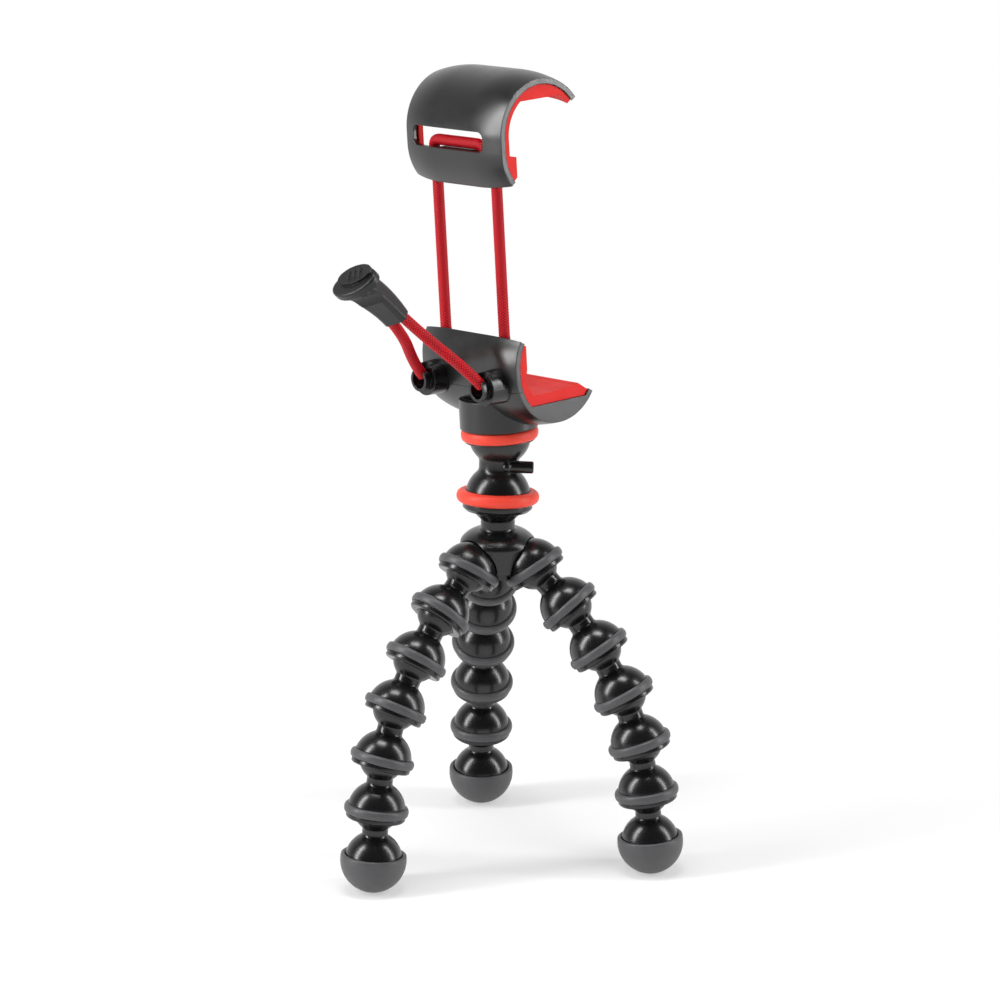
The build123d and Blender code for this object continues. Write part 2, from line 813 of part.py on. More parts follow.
# Lower jaw: the base with the socket for the upper ball, the back plate above the seam, and the pad
lower_front_angle = 360 - jaw_front_angle
back_strip_y = lower_axis_y - jaw_middle_radius
with BuildPart() as grip_base:
    jaw_wrap(
        lower_axis, lower_back_drop, lower_lip_angle, lower_front_angle, 0, jaw_wall, jaw_half_width
    )
    split(bisect_by=level_plane(jaw_floor_z), keep=Keep.BOTTOM)
    jaw_wrap(
        lower_axis, lower_back_drop, lower_lip_angle, lower_front_angle, jaw_wall, 0, jaw_half_width
    )
    strip(jaw_seam_z, lower_axis_z + jaw_middle_radius, back_strip_y, 2 * jaw_middle_radius)
    with BuildSketch(turning_plane(grip.origin, grip.z_dir, grip.x_dir)):
        with BuildLine():
            seat_top = socket_ring_rise + socket_ring_width / 2
            seat_foot = socket_ring_rise - socket_ring_width / 2
            hollow = arc_about(
                0,
                upper_ball_radius + ball_clearance,
                -angle_at_height(upper_ball_radius + ball_clearance, socket_rim_reach),
                90,
            )
            Polyline(
                hollow @ 1,
                (0, socket_top),
                (socket_radius, socket_top),
                (socket_radius, seat_top + socket_edge_fillet),
                (socket_radius - socket_edge_fillet, seat_top),
                (socket_groove_radius, seat_top),
                (socket_groove_radius, seat_foot),
                (socket_rim_radius, seat_foot),
                (socket_rim_radius, socket_rim_bevel - socket_rim_reach),
                (socket_rim_radius - socket_rim_bevel, -socket_rim_reach),
                hollow @ 0,
            )
        make_face()
    revolve(axis=Axis(grip.origin, grip.z_dir))
    with BuildSketch(turning_plane(grip.origin, grip.z_dir, grip.x_dir)):
        with BuildLine():
            half_round = arc_about(0, upper_ball_radius + ball_clearance, -90, 90)
            Line(half_round @ 1, half_round @ 0)
        make_face()
    revolve(axis=Axis(grip.origin, grip.z_dir), mode=Mode.SUBTRACT)
    with BuildSketch(back_plane(seat_back_y)):
        with Locations((-cord_x, post_z), (cord_x, post_z)):
            Circle(post_spigot_radius + seat_clearance)
    extrude(amount=jaw_middle_radius, mode=Mode.SUBTRACT)
keep(grip_base, "grip_base")

upper_head_ring = band_ring(
    turning_plane(grip.origin, grip.z_dir, grip.x_dir),
    socket_ring_rise,
    socket_groove_radius,
    socket_ring_edge_radius,
    socket_ring_radius,
    socket_ring_width,
)
keep(upper_head_ring, "upper_head_ring")

with BuildPart() as lower_jaw_shell:
    jaw_wrap(
        lower_axis, lower_back_drop, lower_lip_angle, 180 + jaw_front_angle, jaw_wall, 0, jaw_half_width
    )
    strip(0, jaw_seam_z + jaw_seam_gap, back_strip_y, 2 * jaw_middle_radius)
    with BuildSketch(back_plane(seat_back_y)):
        with Locations((-cord_x, post_z), (cord_x, post_z)):
            Circle(post_spigot_radius + seat_clearance)
    extrude(amount=jaw_middle_radius, mode=Mode.SUBTRACT)
    for side in (-1, 1):
        groove_route = lower_route(side, lower_lip_z + groove_run_out)
        cord_sweep(groove_route, cord_elbow_radius, cord_radius + cord_room, Mode.SUBTRACT)
keep(lower_jaw_shell, "lower_jaw_shell")

with BuildPart() as lower_jaw_pad:
    jaw_wrap(
        lower_axis,
        lower_back_drop,
        lower_lip_angle + pad_end_angle,
        lower_front_angle - pad_end_angle,
        0,
        pad_drop,
        pad_half_width,
    )
    with BuildSketch(side_plane(0)) as channel:
        with BuildLine():
            Polyline(
                (pad_lip_y, lower_axis_z + jaw_middle_radius),
                (pad_lip_y, lower_axis_z - pad_ridge_rise),
                (pad_hollow_y, lower_axis_z - pad_hollow_rise),
                (pad_corner_y, lower_seat_z + pad_corner_drop),
                (pad_corner_end_y, lower_seat_z),
                (seat_front_y, lower_seat_z),
                (pad_front_y, lower_seat_z + pad_front_slope),
                (pad_tip_y, lower_axis_z - pad_tip_rise),
                (lower_axis_y + jaw_middle_radius, lower_axis_z),
                (lower_axis_y + jaw_middle_radius, lower_axis_z + jaw_middle_radius),
                close=True,
            )
        make_face()
    extrude(channel.sketch, amount=jaw_half_width, both=True, mode=Mode.SUBTRACT)
    split(bisect_by=level_plane(jaw_floor_z + seat_clearance), keep=Keep.TOP)
    with BuildSketch(back_plane(seat_back_y + cut_overrun)):
        with Locations((-cord_x, post_z), (cord_x, post_z)):
            Circle(cord_radius + cord_room)
        with Locations((-cord_x, post_z + jaw_middle_radius / 2), (cord_x, post_z + jaw_middle_radius / 2)):
            Rectangle(2 * (cord_radius + cord_room), jaw_middle_radius)
    extrude(amount=jaw_middle_radius, mode=Mode.SUBTRACT)
keep(lower_jaw_pad, "lower_jaw_pad")

# Tab frame: the origin is where the tails go in, x runs across the tab, and z along it
tab_rise = math.radians(tab_rise_angle)
tab_roll = math.radians(tab_roll_angle)
tab_axis = grip.z_dir * math.sin(tab_rise) - grip.y_dir * math.cos(tab_rise)
tab_side = grip.x_dir * math.cos(tab_roll) + tab_axis.cross(grip.x_dir) * math.sin(tab_roll)
tab = Plane(origin=in_grip(0, tab_root_y, tab_root_z), x_dir=tab_side, z_dir=tab_axis)


def in_tab(x, y, z):
    """A point of the tab's frame, as a place in the whole part."""
    return Vector(tab.from_local_coords((x, y, z)))


def tab_station(distance):
    """A plane across the tab, this far along it."""
    return tab.offset(distance)


def tail_route(side):
    """A tail's line from the swing axis in the post's mouth to its end inside the tab."""
    pivot = in_grip(side * cord_x, pivot_y, pivot_z)
    rise = math.radians(tail_rise_angle)
    lead = -grip.y_dir * math.cos(rise) + grip.z_dir * math.sin(rise)
    return [
        pivot,
        pivot + lead * tail_lead,
        in_tab(side * tail_spacing, 0, -tail_root_lead),
        in_tab(side * tail_spacing, 0, tail_hold),
    ]


# Cord posts, and the cord's pieces on each side
tail_routes = {}
for hand, side in {"left": -1, "right": 1}.items():
    post_axis = Axis(in_grip(side * cord_x, 0, post_z), -grip.y_dir)
    post_profile = turning_plane(post_axis.position, -grip.y_dir, grip.x_dir)
    shoulder = -post_mouth_y - post_lip_length - post_groove_length
    with BuildPart() as cord_post:
        with BuildSketch(post_profile):
            with BuildLine():
                Polyline(
                    (0, -post_root_y),
                    (post_base_radius, -post_root_y),
                    (post_body_radius, shoulder),
                    (post_groove_radius, shoulder),
                    (post_groove_radius, shoulder + post_groove_length),
                    (post_lip_radius, shoulder + post_groove_length),
                    (post_lip_radius, -post_mouth_y),
                    (0, -post_mouth_y),
                    close=True,
                )
            make_face()
        revolve(axis=post_axis)
        jaw_wrap(
            lower_axis,
            lower_back_drop,
            lower_lip_angle,
            lower_front_angle,
            0,
            -seat_clearance,
            jaw_half_width,
            Mode.SUBTRACT,
        )
        with BuildSketch(back_plane(post_spigot_end_y)):
            with Locations((side * cord_x, post_z)):
                Circle(post_spigot_radius)
        extrude(amount=shoulder + post_spigot_end_y)
        with BuildSketch(back_plane(post_root_y)):
            with Locations((side * cord_x, post_z)):
                Circle(post_bore_radius)
        extrude(amount=-2 * post_mouth_y, mode=Mode.SUBTRACT)
        with BuildSketch(back_plane(post_mouth_y + post_notch_depth)):
            with Locations((side * cord_x, post_z + post_notch_floor + post_base_radius)):
                Rectangle(post_notch_width, 2 * post_base_radius)
        extrude(amount=post_notch_depth + cut_overrun, mode=Mode.SUBTRACT)
    keep(cord_post, f"cord_post_{hand}")

    with BuildPart() as cord_inner:
        inner_route = lower_route(side, lower_lip_z)
        inner_length = cord_sweep(inner_route, cord_elbow_radius, cord_radius)
    keep_cord(cord_inner, f"cord_inner_{hand}", inner_length)

    with BuildPart() as cord_run:
        with BuildSketch(level_plane(lower_lip_z)):
            with Locations((side * cord_x, cord_y)):
                Circle(cord_radius)
        extrude(amount=upper_lip_z - lower_lip_z)
    keep_cord(cord_run, f"cord_run_{hand}", upper_lip_z - lower_lip_z)

    tail_routes[hand] = tail_route(side)
    with BuildPart() as cord_tail:
        tail_length = cord_sweep(tail_routes[hand], [tail_lead_bend, tail_root_bend], cord_radius)
        with BuildSketch(turning_plane(tail_routes[hand][0], grip.x_dir, grip.z_dir)):
            with BuildLine():
                half_round = arc_about(0, cord_radius, -90, 90)
                Line(half_round @ 1, half_round @ 0)
            make_face()
        revolve(axis=Axis(tail_routes[hand][0], grip.x_dir))
    keep_cord(cord_tail, f"cord_tail_{hand}", tail_length)

print("cord bends:", bridge_bend_radius, cord_elbow_radius, tail_lead_bend, tail_root_bend)

# Pull tab: a sleeve that widens into a flange, with an oval button on its end
with BuildPart() as pull_tab:
    with BuildSketch(tab_station(0)):
        RectangleRounded(tab_root_width, tab_root_thickness, tab_corner)
    with BuildSketch(tab_station(tab_sleeve_length)):
        RectangleRounded(tab_sleeve_width, tab_sleeve_thickness, tab_corner)
    with BuildSketch(tab_station(tab_throat_length)):
        with Locations((tab_flange_side, tab_flange_drop)):
            RectangleRounded(tab_throat_width, tab_throat_thickness, tab_corner)
    loft()
    with BuildSketch(tab_station(tab_throat_length)):
        with Locations((tab_flange_side, tab_flange_drop)):
            Ellipse(tab_flange_width / 2, tab_flange_thickness / 2)
    extrude(amount=tab_flange_length)
    flange_rims = pull_tab.edges().filter_by(GeomType.ELLIPSE)
    fillet(flange_rims, tab_flange_fillet)
    button_foot = tab_throat_length + tab_flange_length
    with BuildSketch(tab_station(button_foot)):
        with Locations((0, tab_button_rise)):
            Ellipse(tab_button_width / 2, tab_button_thickness / 2)
    extrude(amount=tab_button_length)
    with BuildSketch(tab_station(button_foot + tab_button_length)):
        with Locations((0, tab_button_rise)):
            with GridLocations(tab_rib_spacing, 0, tab_rib_count, 1):
                Rectangle(tab_rib_width, tab_rib_length)
    extrude(amount=tab_rib_rise)
    scoop_centre = in_tab(0, -tab_scoop_drop, tab_scoop_distance)
    with BuildSketch(Plane(origin=scoop_centre, x_dir=tab.z_dir, z_dir=tab.x_dir)):
        Circle(tab_scoop_radius)
    extrude(amount=tab_flange_width, both=True, mode=Mode.SUBTRACT)
    for side in (-1, 1):
        with BuildSketch(tab_station(0)):
            with Locations((side * tail_spacing, 0)):
                Circle(cord_radius + seat_clearance)
        extrude(amount=tail_hold + seat_clearance, mode=Mode.SUBTRACT)
keep(pull_tab, "pull_tab")
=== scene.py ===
import json
import math
from collections import namedtuple

import bmesh
import bpy
from mathutils import Matrix, Vector


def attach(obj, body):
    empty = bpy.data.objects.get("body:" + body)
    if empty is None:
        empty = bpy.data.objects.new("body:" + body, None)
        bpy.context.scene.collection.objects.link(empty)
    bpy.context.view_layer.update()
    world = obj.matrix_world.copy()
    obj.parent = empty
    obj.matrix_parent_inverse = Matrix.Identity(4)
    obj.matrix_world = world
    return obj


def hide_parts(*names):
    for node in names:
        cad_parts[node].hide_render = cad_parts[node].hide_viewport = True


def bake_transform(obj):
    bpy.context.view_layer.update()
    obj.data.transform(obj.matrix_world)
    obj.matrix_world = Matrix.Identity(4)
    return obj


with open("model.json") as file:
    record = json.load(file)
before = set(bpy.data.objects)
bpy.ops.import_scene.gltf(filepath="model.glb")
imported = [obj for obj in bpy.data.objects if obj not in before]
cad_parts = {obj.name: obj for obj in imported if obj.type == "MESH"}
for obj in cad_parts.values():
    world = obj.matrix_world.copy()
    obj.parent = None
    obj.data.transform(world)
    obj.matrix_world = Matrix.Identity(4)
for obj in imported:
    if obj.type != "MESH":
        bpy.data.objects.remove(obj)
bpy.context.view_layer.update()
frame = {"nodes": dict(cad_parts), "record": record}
nodes = frame["nodes"]

# Every length below is in millimetres, as in the part's source, and turned to metres where a piece is made
MM = 0.001

# Camera: a long lens, with the azimuth and elevation found from the photograph
EYE = Vector((853.07, -738.25, 420.96))
AIM = Vector((0.42, 0.34, 92.16))
LENS = 172.8
SENSOR = 36.0
CLIP_NEAR = 50.0
CLIP_FAR = 20000.0

# Stance: azimuths are counted round the floor from x, tilts from straight down and leans from straight up
LEG_AZIMUTHS = {"left": -91.5, "right": 31.6, "back": 144.0}
SOCKET_AZIMUTHS = {"left": -90.0, "right": 30.0, "back": 150.0}
HUB_TILT = 36.0
SEGMENT_TILTS = (44.4, 36.4, 30.1, 19.3, 8.8)
FOOT_TILT = 4.6
LEG_PITCH = 12.8
SOCKET_RADIUS = 9.4
HUB_BALL = Vector((0.0, 0.0, 93.2006))
LINK_PITCH = 15.3
LINK_LEAN = 5.6
LINK_LEAN_AZIMUTH = 121.2
GRIP_LEAN = 4.5

# A ball with a flat on top, and the neck under it: flat is how far the flat lies from the ball's centre
Ball = namedtuple("Ball", "radius flat neck fillet")
# A domed socket: half is half the width of its ring's groove, and reach is how far the rim passes the centre
Socket = namedtuple("Socket", "dome groove half rim reach bevel cavity")
# A rubber ring: its seat, the radius where its round outside begins, its outer radius and half its width
Ring = namedtuple("Ring", "seat edge outer half")

LEG_BALL = Ball(radius=5.6, flat=5.25, neck=3.2, fillet=0.8)
LEG_SOCKET = Socket(dome=7.1, groove=6.35, half=1.15, rim=7.3, reach=2.35, bevel=0.35, cavity=5.65)
LEG_RING = Ring(seat=6.38, edge=7.2, outer=7.95, half=1.12)
LINK_BALL = Ball(radius=7.7, flat=7.2, neck=4.85, fillet=1.6)
LINK_SOCKET = Socket(dome=8.0, groove=7.75, half=1.55, rim=8.55, reach=3.6, bevel=0.85, cavity=7.05)
LOWER_HEAD_RING = Ring(seat=7.78, edge=8.6, outer=10.15, half=1.52)
UPPER_HEAD_RING = Ring(seat=8.38, edge=8.7, outer=9.5, half=1.37)
UPPER_RING_RISE = 0.4

# Foot caps, each pressed flat where it stands
FOOT_CAP_RADIUS = 8.15
FOOT_CAP_INSIDE = 7.13
FOOT_CAP_LIP = -1.2
FOOT_CAP_LIP_DEPTH = 0.35
FOOT_CONTACT = 0.2

# The middle link's peg: a pin in front of the waist, and a bead beside it
PEG_AZIMUTH = 49.0
PEG_CENTRE = Vector((0.0, 3.2, 7.4))
PEG_START = 2.2
PEG_END = 8.5
PEG_RADIUS = 1.5
PEG_ROUNDING = 0.5
BEAD_CENTRE = Vector((1.9, 4.3, 7.4))
BEAD_RADIUS = 1.25

# Small roundings of the turned outlines
GROOVE_ROUNDING = 0.14
RIM_ROUNDING = 0.12
BEVEL_ROUNDING = 0.2
MOUTH_ROUNDING = 0.15
RING_CHAMFER = 0.15
CORNER_SHARE = 0.45
CORNER_STEPS = 5

# How finely round pieces are cut: segments round the axis, and degrees from point to point along an arc
LEG_SEGMENTS = 96
HEAD_SEGMENTS = 128
PEG_SEGMENTS = 48
BEAD_SEGMENTS = 32
BALL_STEP = 5.0
DOME_STEP = 4.0
CAP_INSIDE_STEP = 6.0
FILLET_STEP = 12.0
RING_STEPS = 24
RING_FULLNESS = 0.8
LIP_STEPS = 8
ON_AXIS = 1e-6
SHARP_ANGLE = 32.0
CAD_SHARP_ANGLE = 28.0

# Cord: x, y and z are those of the grip's frame, and each point of its route is given
CORD_RADIUS = 1.4
CORD_X = 10.9
CORD_Y = -6.1
LOWER_LIP_Z = 26.463
RUN_MIDDLE_Z = 44.8
UPPER_LIP_Z = 63.242
BRIDGE_LEAD = 1.0
BRIDGE_SHOULDER = (9.97, -7.2, 69.2)
BRIDGE_CORNER = (9.2, -8.1, 73.3)
BRIDGE_FLAT_X = 4.6
PIVOT = (-14.2, 15.8)
TAIL_RISE = 51.0
TAIL_LEAD = 4.0
TAIL_SPACING = 1.62
TAIL_NEAR_TAB = -4.2
TAIL_END = 6.0
TAB_ROOT = (-30.3, 33.8)
TAB_RISE = 45.0
TAB_ROLL = 26.0

# The cord's braid: strands each way, the distance in which one goes once round, and the shape of a strand
BRAID_STRANDS = 8
BRAID_LAY = 5.6
BRAID_DEPTH = 0.16
STRAND_ROUNDNESS = 0.6
STRAND_SHOULDER = 0.45
CORD_STEP = 0.14
CORD_SIDES = 56
ROUTE_ORDER = 3
ROUTE_RESOLUTION = 24

# Surfaces: the colours and roughness that noise moves between, grain per metre, and edge as its radius
PLASTICS = {
    "gloss_black": {
        "colours": ((0.004, 0.004, 0.0045), (0.006, 0.006, 0.0065)),
        "roughness": (0.22, 0.30),
        "grain_scale": 900.0,
        "grain_depth": 0.004,
        "edge": 0.18,
        "specular": 0.6,
    },
    "grey_rubber": {
        "colours": ((0.058, 0.058, 0.061), (0.080, 0.080, 0.084)),
        "roughness": (0.38, 0.50),
        "grain_scale": 2600.0,
        "grain_depth": 0.02,
        "edge": 0.15,
        "specular": 0.5,
    },
    "red_rubber": {
        "colours": ((0.80, 0.050, 0.028), (0.88, 0.068, 0.036)),
        "roughness": (0.40, 0.52),
        "grain_scale": 2400.0,
        "grain_depth": 0.012,
        "edge": 0.15,
        "specular": 0.35,
    },
    "jaw_plastic": {
        "colours": ((0.0035, 0.0035, 0.0038), (0.006, 0.006, 0.0064)),
        "roughness": (0.27, 0.35),
        "grain_scale": 3000.0,
        "grain_depth": 0.008,
        "edge": 0.35,
        "specular": 0.75,
    },
    "pad_red": {
        "colours": ((0.66, 0.012, 0.010), (0.76, 0.022, 0.016)),
        "roughness": (0.50, 0.64),
        "grain_scale": 2600.0,
        "grain_depth": 0.02,
        "edge": 0.25,
        "specular": 0.25,
    },
    "tab_rubber": {
        "colours": ((0.005, 0.005, 0.0055), (0.008, 0.008, 0.0085)),
        "roughness": (0.32, 0.44),
        "grain_scale": 2600.0,
        "grain_depth": 0.012,
        "edge": 0.25,
        "specular": 0.5,
    },
}
# Braid colour: first the painted shade in the grooves between strands, then the strands' own red
BRAID_GROOVE_SHADE_AND_COLOUR = ((0.20, 0.0, 0.003), (0.84, 0.008, 0.020))
BRAID_ROUGHNESS = (0.46, 0.62)
BRAID_SPECULAR = 0.25
YARN_SHADES = (0.75, 1.1)
YARN_DEPTH = 0.05
NOISE_RANGE = (0.25, 0.75)
BEVEL_SAMPLES = 4

# Floor and world: the shadow fades out between two distances from the middle of the floor
FLOOR_HALF = 3000.0
FLOOR_GREY = 0.9
FLOOR_ROUGHNESS = 0.6
FLOOR_SPECULAR = 0.1
FADE_START = 60.0
FADE_END = 200.0
FADE_INSIDE = 0.45
WORLD_GREY = 0.95
WORLD_STRENGTH = 0.35
ROOM_BEHIND = -0.75
ROOM_STRENGTH = 0.06

# Softboxes: how far right, up and towards the camera each stands from the aim, its two sides and its watts
SOFTBOXES = {
    "left_softbox": {"place": (-750.0, 350.0, 250.0), "sides": (160.0, 900.0), "power": 7.5},
    "right_softbox": {"place": (800.0, 300.0, 100.0), "sides": (120.0, 900.0), "power": 4.6},
    "top_softbox": {"place": (-50.0, 950.0, 150.0), "sides": (500.0, 250.0), "power": 5.0},
}


# Places and directions


def compass(azimuth):
    return Vector((math.cos(math.radians(azimuth)), math.sin(math.radians(azimuth)), 0.0))


def leaning(azimuth, tilt):
    return compass(azimuth) * math.sin(math.radians(tilt)) - Vector((0, 0, math.cos(math.radians(tilt))))


def axes_matrix(origin, x_axis, y_axis, z_axis):
    """A matrix in metres from an origin in millimetres and three unit axes."""
    matrix = Matrix((x_axis, y_axis, z_axis)).transposed().to_4x4()
    matrix.translation = origin * MM
    return matrix


LINK_DOWN = leaning(LINK_LEAN_AZIMUTH + 180, LINK_LEAN)
UPPER_BALL = HUB_BALL - LINK_DOWN * LINK_PITCH
GRIP_X = Vector((math.cos(math.radians(GRIP_LEAN)), 0, math.sin(math.radians(GRIP_LEAN))))
GRIP_Z = Vector((-math.sin(math.radians(GRIP_LEAN)), 0, math.cos(math.radians(GRIP_LEAN))))
GRIP_Y = GRIP_Z.cross(GRIP_X)


def in_grip(x, y, z):
    """A point of the grip's frame, in metres."""
    return (UPPER_BALL + GRIP_X * x + GRIP_Y * y + GRIP_Z * z) * MM


TAB_AXIS = -GRIP_Y * math.cos(math.radians(TAB_RISE)) + GRIP_Z * math.sin(math.radians(TAB_RISE))
TAB_UP = TAB_AXIS.cross(GRIP_X)
TAB_SIDE = GRIP_X * math.cos(math.radians(TAB_ROLL)) + TAB_UP * math.sin(math.radians(TAB_ROLL))
TAB_ORIGIN = UPPER_BALL + GRIP_Y * TAB_ROOT[0] + GRIP_Z * TAB_ROOT[1]


def in_tab(side, along):
    """A point in the middle plane of the pull tab, in metres."""
    return (TAB_ORIGIN + TAB_SIDE * side + TAB_AXIS * along) * MM


# Materials


def new_material(name):
    material = bpy.data.materials.new(name)
    material.use_nodes = True
    tree = material.node_tree
    return material, tree, tree.nodes["Principled BSDF"]


def coordinates(tree, which="Object"):
    node = tree.nodes.new("ShaderNodeTexCoord")
    return node.outputs[which]


def noise(tree, coords, scale, detail, rough):
    node = tree.nodes.new("ShaderNodeTexNoise")
    node.inputs["Scale"].default_value = scale
    node.inputs["Detail"].default_value = detail
    node.inputs["Roughness"].default_value = rough
    tree.links.new(coords, node.inputs["Vector"])
    return node.outputs["Fac"]


def map_range(tree, value, source, target):
    node = tree.nodes.new("ShaderNodeMapRange")
    node.inputs["From Min"].default_value = source[0]
    node.inputs["From Max"].default_value = source[1]
    node.inputs["To Min"].default_value = target[0]
    node.inputs["To Max"].default_value = target[1]
    tree.links.new(value, node.inputs["Value"])
    return node


def spread(tree, value, target):
    """Maps the range in which noise lies to the target's."""
    return map_range(tree, value, NOISE_RANGE, target).outputs["Result"]


def colour_mix(tree, fac, colours):
    node = tree.nodes.new("ShaderNodeMix")
    node.data_type = "RGBA"
    tree.links.new(fac, node.inputs["Factor"])
    node.inputs["A"].default_value = (*colours[0], 1.0)
    node.inputs["B"].default_value = (*colours[1], 1.0)
    return node.outputs["Result"]


def bump(tree, height, distance, normal=None):
    node = tree.nodes.new("ShaderNodeBump")
    node.inputs["Distance"].default_value = distance * MM
    tree.links.new(height, node.inputs["Height"])
    if normal is not None:
        tree.links.new(normal, node.inputs["Normal"])
    return node.outputs["Normal"]


def rounded_edges(tree, radius):
    node = tree.nodes.new("ShaderNodeBevel")
    node.samples = BEVEL_SAMPLES
    node.inputs["Radius"].default_value = radius * MM
    return node.outputs["Normal"]


def maths(tree, operation, *values):
    node = tree.nodes.new("ShaderNodeMath")
    node.operation = operation
    for socket, value in zip(node.inputs, values):
        if isinstance(value, (int, float)):
            socket.default_value = value
        else:
            tree.links.new(value, socket)
    return node.outputs[0]


def plastic(name, colours, roughness, grain_scale, grain_depth, edge, specular):
    """Moulded plastic or rubber: slow colour change, patchy gloss, fine grain and softened edges."""
    material, tree, bsdf = new_material(name)
    coords = coordinates(tree)
    slow = noise(tree, coords, scale=90.0, detail=3.0, rough=0.5)
    tree.links.new(colour_mix(tree, slow, colours), bsdf.inputs["Base Color"])
    patches = noise(tree, coords, scale=260.0, detail=4.0, rough=0.6)
    tree.links.new(spread(tree, patches, roughness), bsdf.inputs["Roughness"])
    grain = noise(tree, coords, grain_scale, detail=2.0, rough=0.6)
    tree.links.new(bump(tree, grain, grain_depth, rounded_edges(tree, edge)), bsdf.inputs["Normal"])
    bsdf.inputs["Specular IOR Level"].default_value = specular
    return material


def braid_material(name):
    """A braided cover: painted shade darkens the grooves between its strands, and fine yarn shows in each.
    """
    material, tree, bsdf = new_material(name)
    split = tree.nodes.new("ShaderNodeSeparateXYZ")
    tree.links.new(coordinates(tree, "UV"), split.inputs["Vector"])
    lay = maths(tree, "MULTIPLY", split.outputs["X"], BRAID_STRANDS / BRAID_LAY)
    turn = maths(tree, "MULTIPLY", split.outputs["Y"], BRAID_STRANDS)
    painted_groove_shade = None
    # Painted shade: 1 on each strand's crown, falling to 0 in the grooves between strands
    for direction in ("ADD", "SUBTRACT"):
        angle = maths(tree, "MULTIPLY", maths(tree, direction, turn, lay), math.pi)
        wave = maths(tree, "ABSOLUTE", maths(tree, "SINE", angle))
        painted_groove_shade = wave if painted_groove_shade is None else maths(tree, "MULTIPLY", painted_groove_shade, wave)
    yarn = noise(tree, coordinates(tree), scale=4200.0, detail=3.0, rough=0.6)
    yarn_tone_and_groove_shade = maths(tree, "MULTIPLY", painted_groove_shade, spread(tree, yarn, YARN_SHADES))
    tree.links.new(colour_mix(tree, yarn_tone_and_groove_shade, BRAID_GROOVE_SHADE_AND_COLOUR), bsdf.inputs["Base Color"])
    tree.links.new(bump(tree, yarn, YARN_DEPTH), bsdf.inputs["Normal"])
    tree.links.new(spread(tree, yarn, BRAID_ROUGHNESS), bsdf.inputs["Roughness"])
    bsdf.inputs["Specular IOR Level"].default_value = BRAID_SPECULAR
    return material


FINISH = {name: plastic(name, **look) for name, look in PLASTICS.items()}
FINISH["cord_red"] = braid_material("cord_red")
for part in frame["record"]["subparts"]:
    cad = nodes[part["node"]]
    cad.data.materials.clear()
    cad.data.materials.append(FINISH[part["material_slot"]])
    for face in cad.data.polygons:
        face.use_smooth = True
    cad.data.set_sharp_from_angle(angle=math.radians(CAD_SHARP_ANGLE))


# Turned pieces: an outline's points are (radius, distance along the axis, rounding of the corner there)


def arc(centre_r, centre_s, radius, start, end, step=BALL_STEP):
    """Points on an arc, with no rounding, its angles in degrees from straight outwards."""
    count = max(2, int(abs(end - start) / step) + 1)
    angles = [math.radians(start + (end - start) * i / count) for i in range(count + 1)]
    return [
        (max(0.0, centre_r + radius * math.cos(a)), centre_s + radius * math.sin(a), 0.0)
        for a in angles
    ]


def softened(points):
    """Rounds each inner corner of an outline by its own rounding, and leaves (radius, distance) points."""
    out = []
    for i, (r, s, rounding) in enumerate(points):
        if rounding <= 0 or i in (0, len(points) - 1):
            out.append((r, s))
            continue
        corner = Vector((r, s))
        before = Vector(points[i - 1][:2]) - corner
        after = Vector(points[i + 1][:2]) - corner
        reach = rounding / math.tan(before.angle(after) / 2)
        reach = min(reach, CORNER_SHARE * before.length, CORNER_SHARE * after.length)
        a = corner + before.normalized() * reach
        b = corner + after.normalized() * reach
        for k in range(CORNER_STEPS + 1):
            t = k / CORNER_STEPS
            q = a * (1 - t) ** 2 + corner * 2 * t * (1 - t) + b * t**2
            out.append((q.x, q.y))
    return out


def turned(bm, outline, matrix=Matrix.Identity(4), closed=False, segments=LEG_SEGMENTS):
    """Adds a turned solid to bm, with its axis along the matrix's z."""
    rows = []
    for r, s in outline:
        if r < ON_AXIS:
            rows.append([bm.verts.new(matrix @ Vector((0, 0, s * MM)))])
            continue
        ring = []
        for k in range(segments):
            a = 2 * math.pi * k / segments
            ring.append(bm.verts.new(matrix @ Vector((r * math.cos(a) * MM, r * math.sin(a) * MM, s * MM))))
        rows.append(ring)
    pairs = list(zip(rows, rows[1:])) + ([(rows[-1], rows[0])] if closed else [])
    for low, high in pairs:
        for k in range(segments):
            n = (k + 1) % segments
            corners = [low[k % len(low)], low[n % len(low)], high[n % len(high)], high[k % len(high)]]
            corners = list(dict.fromkeys(corners))
            if len(corners) > 2:
                bm.faces.new(corners)


def finished(name, bm, slot_name, matrix=Matrix.Identity(4), sharp=SHARP_ANGLE):
    """Turns bm into a smooth-shaded object, its normals outwards, with no sharp edges if sharp is None."""
    bmesh.ops.recalc_face_normals(bm, faces=bm.faces)
    mesh = bpy.data.meshes.new(name)
    bm.to_mesh(mesh)
    bm.free()
    for face in mesh.polygons:
        face.use_smooth = True
    if sharp is not None:
        mesh.set_sharp_from_angle(angle=math.radians(sharp))
    mesh.materials.append(FINISH[slot_name])
    obj = bpy.data.objects.new(name, mesh)
    bpy.context.scene.collection.objects.link(obj)
    obj.matrix_world = matrix
    return obj


def ball_lines(ball, dome, pitch):
    """Flat, ball and filleted neck above a dome a pitch away, and the angle where the dome's arc begins."""
    flat_start = -math.degrees(math.asin(ball.flat / ball.radius))
    across = ball.neck + ball.fillet
    rise = math.sqrt((ball.radius + ball.fillet) ** 2 - across**2)
    fall = math.sqrt((dome + ball.fillet) ** 2 - across**2)
    ball_end = math.degrees(math.atan2(rise, across))
    dome_start = -math.degrees(math.atan2(fall, across))
    lines = [(0.0, -ball.flat, 0.0)]
    lines += arc(0, 0, ball.radius, flat_start, ball_end)
    lines += arc(across, rise, ball.fillet, 180 + ball_end, 180, FILLET_STEP)
    lines += arc(across, pitch - fall, ball.fillet, 180, 180 + dome_start, FILLET_STEP)
    return lines, dome_start


